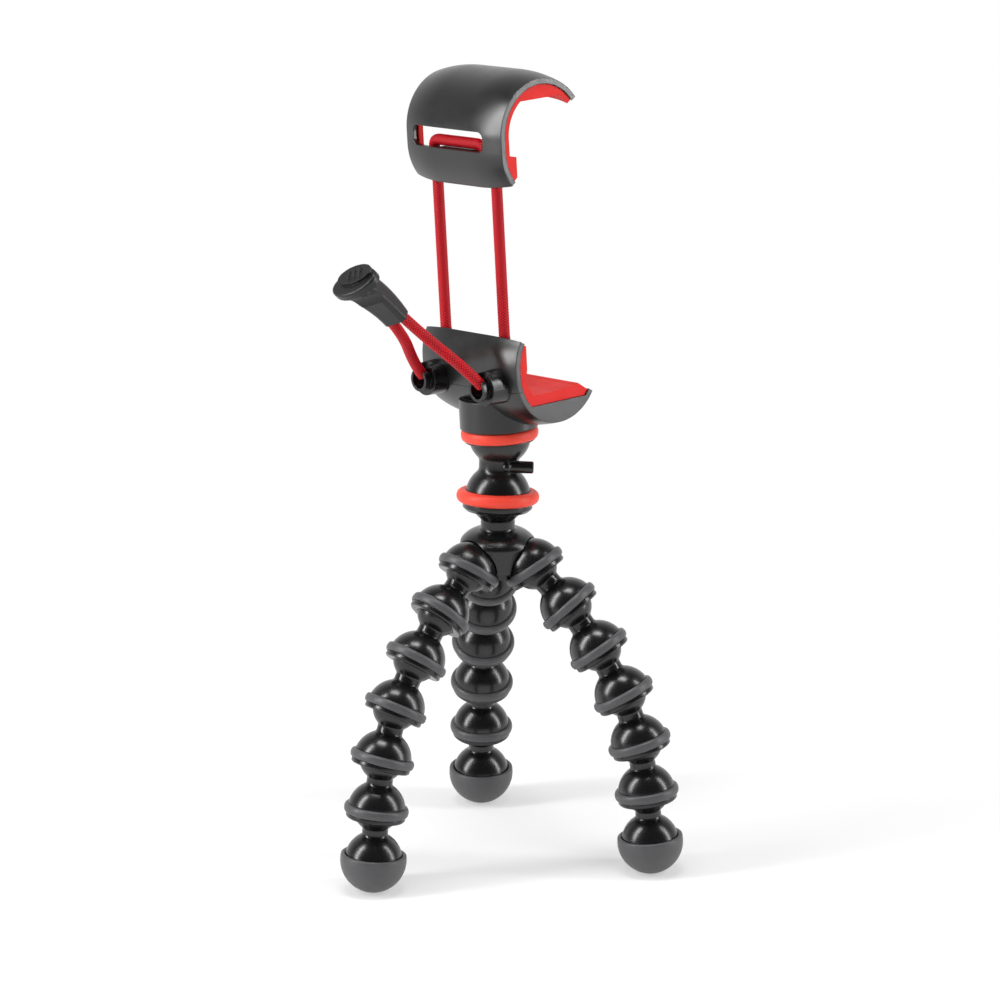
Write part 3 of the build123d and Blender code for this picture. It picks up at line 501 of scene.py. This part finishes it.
def socket_lines(socket, dome_start, centre):
    """Dome, ring groove, rim and cavity of a socket, to the cavity's top on the axis."""
    crown_end = -math.degrees(math.asin(socket.half / socket.dome))
    mouth = math.degrees(math.asin(socket.reach / socket.cavity))
    dome = arc(0, centre, socket.dome, dome_start, crown_end, DOME_STEP)
    dome[-1] = (*dome[-1][:2], GROOVE_ROUNDING)
    rim = [
        (socket.groove, centre - socket.half, 0.0),
        (socket.groove, centre + socket.half, 0.0),
        (socket.rim, centre + socket.half, RIM_ROUNDING),
        (socket.rim, centre + socket.reach - socket.bevel, BEVEL_ROUNDING),
        (socket.rim - socket.bevel, centre + socket.reach, BEVEL_ROUNDING),
    ]
    hollow = arc(0, centre, socket.cavity, mouth, -90)
    hollow[0] = (*hollow[0][:2], MOUTH_ROUNDING)
    return dome + rim + hollow


def link_outline(ball, socket, pitch):
    """A ball, its neck and a socket, as one turned piece."""
    lines, dome_start = ball_lines(ball, socket.dome, pitch)
    return softened(lines + socket_lines(socket, dome_start, pitch))


def foot_outline():
    """A leg's last piece: a ball, its neck and a round foot."""
    lines, dome_start = ball_lines(LEG_BALL, LEG_SOCKET.dome, LEG_PITCH)
    return softened(lines + arc(0, LEG_PITCH, LEG_SOCKET.dome, dome_start, 90, DOME_STEP))


def ring_outline(ring, centre=0.0):
    """A rubber ring: flat seat inside, full round outside."""
    outline = []
    for k in range(RING_STEPS + 1):
        a = math.radians(-90 + 180 * k / RING_STEPS)
        bulge = (ring.outer - ring.edge) * math.cos(a) ** RING_FULLNESS
        outline.append((ring.edge + bulge, centre + ring.half * math.sin(a)))
    outline += [
        (ring.seat + RING_CHAMFER, centre + ring.half),
        (ring.seat, centre + ring.half - RING_CHAMFER),
        (ring.seat, centre - ring.half + RING_CHAMFER),
        (ring.seat + RING_CHAMFER, centre - ring.half),
    ]
    return outline


def foot_cap_outline():
    """A cup with a rounded lip, from the inside's top on the axis to the outside's."""
    outer_start = math.degrees(math.asin(FOOT_CAP_LIP / FOOT_CAP_RADIUS))
    inner_start = math.degrees(math.asin(FOOT_CAP_LIP / FOOT_CAP_INSIDE))
    skin = arc(0, 0, FOOT_CAP_RADIUS, outer_start, 90, DOME_STEP)
    inner = arc(0, 0, FOOT_CAP_INSIDE, inner_start, 90, CAP_INSIDE_STEP)
    middle = (skin[0][0] + FOOT_CAP_INSIDE * math.cos(math.radians(inner_start))) / 2
    half = skin[0][0] - middle
    lip = []
    for k in range(1, LIP_STEPS):
        a = math.pi * k / LIP_STEPS
        lip.append((middle - half * math.cos(a), FOOT_CAP_LIP - FOOT_CAP_LIP_DEPTH * math.sin(a), 0.0))
    return [point[:2] for point in inner[::-1] + lip + skin]


# Legs


def leg_frame(centre, direction, azimuth):
    side = compass(azimuth + 90)
    return axes_matrix(centre, side, direction.cross(side), direction)


def leg_piece(name, outline, closed, slot_name, matrix, body, cad_name):
    bm = bmesh.new()
    turned(bm, outline, closed=closed)
    piece = finished(name, bm, slot_name, matrix)
    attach(piece, body)
    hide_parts(cad_name)


def foot_cap(side, placed):
    """The rubber cap of a foot, cut flat by the floor it stands on."""
    bm = bmesh.new()
    turned(bm, foot_cap_outline())
    up = placed.inverted()
    for vert in bm.verts:
        where = placed @ vert.co
        if where.z < 0:
            vert.co = up @ Vector((where.x, where.y, 0.0))
    cap = finished(f"{side}_rubber_foot", bm, "grey_rubber", placed)
    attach(cap, f"{side}_foot_body")
    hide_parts(f"{side}_foot_cap")


band = ring_outline(LEG_RING)
hub_sockets = {}
leg_drop = sum(math.cos(math.radians(t)) for t in SEGMENT_TILTS + (FOOT_TILT,)) * LEG_PITCH
socket_height = Vector((0, 0, FOOT_CAP_RADIUS - FOOT_CONTACT + leg_drop))
for side, azimuth in SOCKET_AZIMUTHS.items():
    hub_sockets[side] = compass(azimuth) * SOCKET_RADIUS + socket_height
    placed = leg_frame(hub_sockets[side], leaning(azimuth, HUB_TILT), azimuth)
    leg_piece(f"{side}_hub_band", band, True, "grey_rubber", placed, "hub", f"{side}_hub_ring")

segment = link_outline(LEG_BALL, LEG_SOCKET, LEG_PITCH)
for side, azimuth in LEG_AZIMUTHS.items():
    centre = hub_sockets[side]
    for number, tilt in enumerate(SEGMENT_TILTS, start=1):
        direction = leaning(azimuth, tilt)
        body = f"{side}_leg_{number}"
        placed = leg_frame(centre, direction, azimuth)
        cad_name = f"{side}_leg_segment_{number}"
        leg_piece(f"{side}_link_{number}", segment, False, "gloss_black", placed, body, cad_name)
        centre = centre + direction * LEG_PITCH
        placed = leg_frame(centre, direction, azimuth)
        cad_name = f"{side}_leg_ring_{number}"
        leg_piece(f"{side}_band_{number}", band, True, "grey_rubber", placed, body, cad_name)
    direction = leaning(azimuth, FOOT_TILT)
    body = f"{side}_foot_body"
    placed = leg_frame(centre, direction, azimuth)
    leg_piece(f"{side}_foot_ball", foot_outline(), False, "gloss_black", placed, body, f"{side}_foot")
    foot_cap(side, leg_frame(centre + direction * LEG_PITCH, direction, azimuth))


# Head: the middle link with its peg, and the two red rings


def head_link(matrix):
    bm = bmesh.new()
    turned(bm, link_outline(LINK_BALL, LINK_SOCKET, LINK_PITCH), segments=HEAD_SEGMENTS)
    across = Matrix.Translation(PEG_CENTRE * MM) @ Matrix.Rotation(math.radians(90), 4, "Y")
    pin = [
        (0.0, PEG_START, 0.0),
        (PEG_RADIUS, PEG_START, PEG_ROUNDING),
        (PEG_RADIUS, PEG_END, PEG_ROUNDING),
        (0.0, PEG_END, 0.0),
    ]
    turned(bm, softened(pin), across, segments=PEG_SEGMENTS)
    bead = softened(arc(0, 0, BEAD_RADIUS, -90, 90, FILLET_STEP))
    turned(bm, bead, Matrix.Translation(BEAD_CENTRE * MM), segments=BEAD_SEGMENTS)
    middle = finished("head_link", bm, "gloss_black", matrix)
    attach(middle, "middle_link")
    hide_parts("middle_link")


def head_ring(name, ring, centre, matrix, body, cad_name):
    bm = bmesh.new()
    turned(bm, ring_outline(ring, centre), closed=True, segments=HEAD_SEGMENTS)
    piece = finished(name, bm, "red_rubber", matrix)
    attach(piece, body)
    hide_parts(cad_name)


link_side = compass(PEG_AZIMUTH - 90).cross(LINK_DOWN).normalized()
link_frame = axes_matrix(UPPER_BALL, link_side, LINK_DOWN.cross(link_side), LINK_DOWN)
grip_frame = axes_matrix(UPPER_BALL, GRIP_X, GRIP_Y, GRIP_Z)
head_link(link_frame)
head_ring("head_band_lower", LOWER_HEAD_RING, LINK_PITCH, link_frame, "lower_ring", "lower_head_ring")
head_ring("head_band_upper", UPPER_HEAD_RING, UPPER_RING_RISE, grip_frame, "upper_ring", "upper_head_ring")


# Cords


def route_line(points):
    """The smooth line of a route, read from the NURBS spline that its points control."""
    data = bpy.data.curves.new("route", "CURVE")
    data.dimensions = "3D"
    data.resolution_u = ROUTE_RESOLUTION
    spline = data.splines.new("NURBS")
    spline.points.add(len(points) - 1)
    for control, point in zip(spline.points, points):
        control.co = (*point, 1.0)
    spline.order_u = ROUTE_ORDER
    spline.use_endpoint_u = True
    carrier = bpy.data.objects.new("route", data)
    mesh = bpy.data.meshes.new_from_object(carrier)
    line = [v.co.copy() for v in mesh.vertices]
    bpy.data.objects.remove(carrier)
    return line


def even_steps(line, step):
    """Points a step apart along a line, with how far along each one is, in metres."""
    lengths = [0.0]
    for a, b in zip(line, line[1:]):
        lengths.append(lengths[-1] + (b - a).length)
    count = max(2, round(lengths[-1] / step))
    found = []
    spot = 0
    for i in range(count + 1):
        want = lengths[-1] * i / count
        while spot < len(lengths) - 2 and lengths[spot + 1] < want:
            spot += 1
        share = (want - lengths[spot]) / (lengths[spot + 1] - lengths[spot])
        found.append((line[spot].lerp(line[spot + 1], share), want))
    return found


def weave_height(around, along):
    """How high a braid's strand stands, 0 to 1, at a share of the way round and a distance along."""
    p = BRAID_STRANDS * (around + along / BRAID_LAY)
    q = BRAID_STRANDS * (around - along / BRAID_LAY)
    across, beside = (p, q) if (math.floor(p) + math.floor(q)) % 2 == 0 else (q, p)
    crown = math.sin(math.pi * (across - math.floor(across)))
    hump = math.sin(math.pi * (beside - math.floor(beside)))
    return crown**STRAND_ROUNDNESS * (STRAND_SHOULDER + (1 - STRAND_SHOULDER) * hump)


def cord_rings(bm, steps, begin):
    """Rings of vertices along evenly spaced steps, each with how far along the cord it lies."""
    spots = [spot for spot, far in steps]
    ends = spots[:1] + spots + spots[-1:]
    tangents = [(after - before).normalized() for before, after in zip(ends, ends[2:])]
    normal = tangents[0].orthogonal().normalized()
    rings = []
    for (spot, far), tangent in zip(steps, tangents):
        normal = (normal - tangent * normal.dot(tangent)).normalized()
        side = tangent.cross(normal)
        along = begin + far / MM
        ring = []
        for k in range(CORD_SIDES):
            a = 2 * math.pi * k / CORD_SIDES
            r = (CORD_RADIUS - BRAID_DEPTH * (1 - weave_height(k / CORD_SIDES, along))) * MM
            ring.append(bm.verts.new(spot + (normal * math.cos(a) + side * math.sin(a)) * r))
        rings.append((ring, along))
    return rings


def braided(name, points, cad_name, begin=0.0):
    """A tube along a route, with its braid in the surface, and UVs in millimetres along and shares round."""
    steps = even_steps(route_line(points), CORD_STEP * MM)
    bm = bmesh.new()
    layer = bm.loops.layers.uv.new("UVMap")
    rings = cord_rings(bm, steps, begin)
    for (low, s_low), (high, s_high) in zip(rings, rings[1:]):
        for k in range(CORD_SIDES):
            n = (k + 1) % CORD_SIDES
            face = bm.faces.new([low[k], low[n], high[n], high[k]])
            corners = [(s_low, k), (s_low, k + 1), (s_high, k + 1), (s_high, k)]
            for loop, (along, turn) in zip(face.loops, corners):
                loop[layer].uv = (along, turn / CORD_SIDES)
    bm.faces.new(rings[0][0][::-1])
    bm.faces.new(rings[-1][0])
    obj = finished(name, bm, "cord_red", sharp=None)
    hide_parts(cad_name)
    return obj, [spot for spot, far in steps], steps[-1][1]


tail_rise = math.radians(TAIL_RISE)
tail_lead = (-GRIP_Y * math.cos(tail_rise) + GRIP_Z * math.sin(tail_rise)) * TAIL_LEAD * MM
for hand, side in (("left", -1), ("right", 1)):
    low = in_grip(side * CORD_X, CORD_Y, LOWER_LIP_Z)
    high = in_grip(side * CORD_X, CORD_Y, UPPER_LIP_Z)
    run_points = [low, in_grip(side * CORD_X, CORD_Y, RUN_MIDDLE_Z), high]
    run, line, length = braided(f"run_{hand}", run_points, f"cord_run_{hand}")
    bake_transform(run)
    pivot = in_grip(side * CORD_X, *PIVOT)
    tail_points = [
        pivot,
        pivot + tail_lead,
        in_tab(side * TAIL_SPACING, TAIL_NEAR_TAB),
        in_tab(side * TAIL_SPACING, TAIL_END),
    ]
    tail, line, length = braided(f"tail_{hand}", tail_points, f"cord_tail_{hand}")
    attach(tail, "pull_tab")

# The photograph shows tight bends at both ends of the bridge, so each has a point on either side
shoulder_x, shoulder_y, shoulder_z = BRIDGE_SHOULDER
corner_x, corner_y, corner_z = BRIDGE_CORNER
bridge_points = [
    in_grip(-CORD_X, CORD_Y, UPPER_LIP_Z),
    in_grip(-CORD_X, CORD_Y, UPPER_LIP_Z + BRIDGE_LEAD),
    in_grip(-shoulder_x, shoulder_y, shoulder_z),
    in_grip(-corner_x, corner_y, corner_z),
    in_grip(-BRIDGE_FLAT_X, corner_y, corner_z),
    in_grip(BRIDGE_FLAT_X, corner_y, corner_z),
    in_grip(corner_x, corner_y, corner_z),
    in_grip(shoulder_x, shoulder_y, shoulder_z),
    in_grip(CORD_X, CORD_Y, UPPER_LIP_Z + BRIDGE_LEAD),
    in_grip(CORD_X, CORD_Y, UPPER_LIP_Z),
]
bridge, line, length = braided("bridge", bridge_points, "cord_bridge", begin=UPPER_LIP_Z - LOWER_LIP_Z)
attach(bridge, "upper_jaw")


# Floor, light and camera

CAMERA_BACK = (EYE - AIM).normalized()
CAMERA_RIGHT = Vector((0, 0, 1)).cross(CAMERA_BACK).normalized()


def background_rays(tree):
    """1 for the rays that show the background: what the camera sees, straight or in a gloss."""
    rays = tree.nodes.new("ShaderNodeLightPath")
    shown = maths(tree, "MAXIMUM", rays.outputs["Is Camera Ray"], rays.outputs["Is Glossy Ray"])
    return maths(tree, "MAXIMUM", shown, rays.outputs["Is Transmission Ray"])


def floor_material():
    """Plain white to the background's rays, apart from the object's soft shadow, which fades outwards."""
    material, tree, bsdf = new_material("floor_white")
    bsdf.inputs["Base Color"].default_value = (FLOOR_GREY, FLOOR_GREY, FLOOR_GREY, 1.0)
    bsdf.inputs["Roughness"].default_value = FLOOR_ROUGHNESS
    bsdf.inputs["Specular IOR Level"].default_value = FLOOR_SPECULAR
    spot = tree.nodes.new("ShaderNodeVectorMath")
    spot.operation = "LENGTH"
    tree.links.new(coordinates(tree), spot.inputs[0])
    fade = map_range(tree, spot.outputs["Value"], (FADE_START * MM, FADE_END * MM), (FADE_INSIDE, 1.0))
    fade.interpolation_type = "SMOOTHSTEP"
    white = tree.nodes.new("ShaderNodeEmission")
    mix = tree.nodes.new("ShaderNodeMixShader")
    tree.links.new(maths(tree, "MULTIPLY", fade.outputs["Result"], background_rays(tree)), mix.inputs[0])
    tree.links.new(bsdf.outputs[0], mix.inputs[1])
    tree.links.new(white.outputs[0], mix.inputs[2])
    tree.links.new(mix.outputs[0], tree.nodes["Material Output"].inputs["Surface"])
    return material


def white_floor():
    half = FLOOR_HALF * MM
    mesh = bpy.data.meshes.new("floor")
    corners = [(-half, -half, 0), (half, -half, 0), (half, half, 0), (-half, half, 0)]
    mesh.from_pydata(corners, [], [(0, 1, 2, 3)])
    mesh.materials.append(floor_material())
    floor = bpy.data.objects.new("floor", mesh)
    bpy.context.scene.collection.objects.link(floor)


def white_world():
    """Dim even light, and white for the background's rays: in a gloss, only behind and beside the object."""
    world = bpy.data.worlds.new("world")
    bpy.context.scene.world = world
    world.use_nodes = True
    tree = world.node_tree
    light = tree.nodes["Background"]
    light.inputs["Color"].default_value = (WORLD_GREY, WORLD_GREY, WORLD_GREY, 1.0)
    light.inputs["Strength"].default_value = WORLD_STRENGTH
    seen = tree.nodes.new("ShaderNodeBackground")
    seen.inputs["Color"].default_value = (1.0, 1.0, 1.0, 1.0)
    facing = tree.nodes.new("ShaderNodeVectorMath")
    facing.operation = "DOT_PRODUCT"
    facing.inputs[1].default_value = CAMERA_BACK
    tree.links.new(coordinates(tree, "Generated"), facing.inputs[0])
    room = map_range(tree, facing.outputs["Value"], (ROOM_BEHIND, 0.0), (1.0, ROOM_STRENGTH))
    rays = tree.nodes.new("ShaderNodeLightPath")
    strength = maths(tree, "MAXIMUM", rays.outputs["Is Camera Ray"], room.outputs["Result"])
    tree.links.new(strength, seen.inputs["Strength"])
    mix = tree.nodes.new("ShaderNodeMixShader")
    tree.links.new(background_rays(tree), mix.inputs[0])
    tree.links.new(light.outputs[0], mix.inputs[1])
    tree.links.new(seen.outputs[0], mix.inputs[2])
    tree.links.new(mix.outputs[0], tree.nodes["World Output"].inputs["Surface"])


def softbox(name, place, sides, power):
    right, up, towards = place
    at = AIM + CAMERA_RIGHT * right + Vector((0, 0, 1)) * up + CAMERA_BACK * towards
    data = bpy.data.lights.new(name, "AREA")
    data.shape = "RECTANGLE"
    data.size = sides[0] * MM
    data.size_y = sides[1] * MM
    data.energy = power
    lamp = bpy.data.objects.new(name, data)
    bpy.context.scene.collection.objects.link(lamp)
    lamp.location = at * MM
    lamp.rotation_mode = "QUATERNION"
    lamp.rotation_quaternion = (AIM - at).to_track_quat("-Z", "Y")


def long_lens():
    data = bpy.data.cameras.new("camera")
    data.lens = LENS
    data.sensor_width = SENSOR
    data.clip_start = CLIP_NEAR * MM
    data.clip_end = CLIP_FAR * MM
    camera = bpy.data.objects.new("camera", data)
    bpy.context.scene.collection.objects.link(camera)
    camera.location = EYE * MM
    camera.rotation_mode = "QUATERNION"
    camera.rotation_quaternion = (-CAMERA_BACK).to_track_quat("-Z", "Y")
    bpy.context.scene.camera = camera


white_floor()
white_world()
for name, box in SOFTBOXES.items():
    softbox(name, **box)
long_lens()
bpy.context.scene.view_settings.view_transform = "Standard"
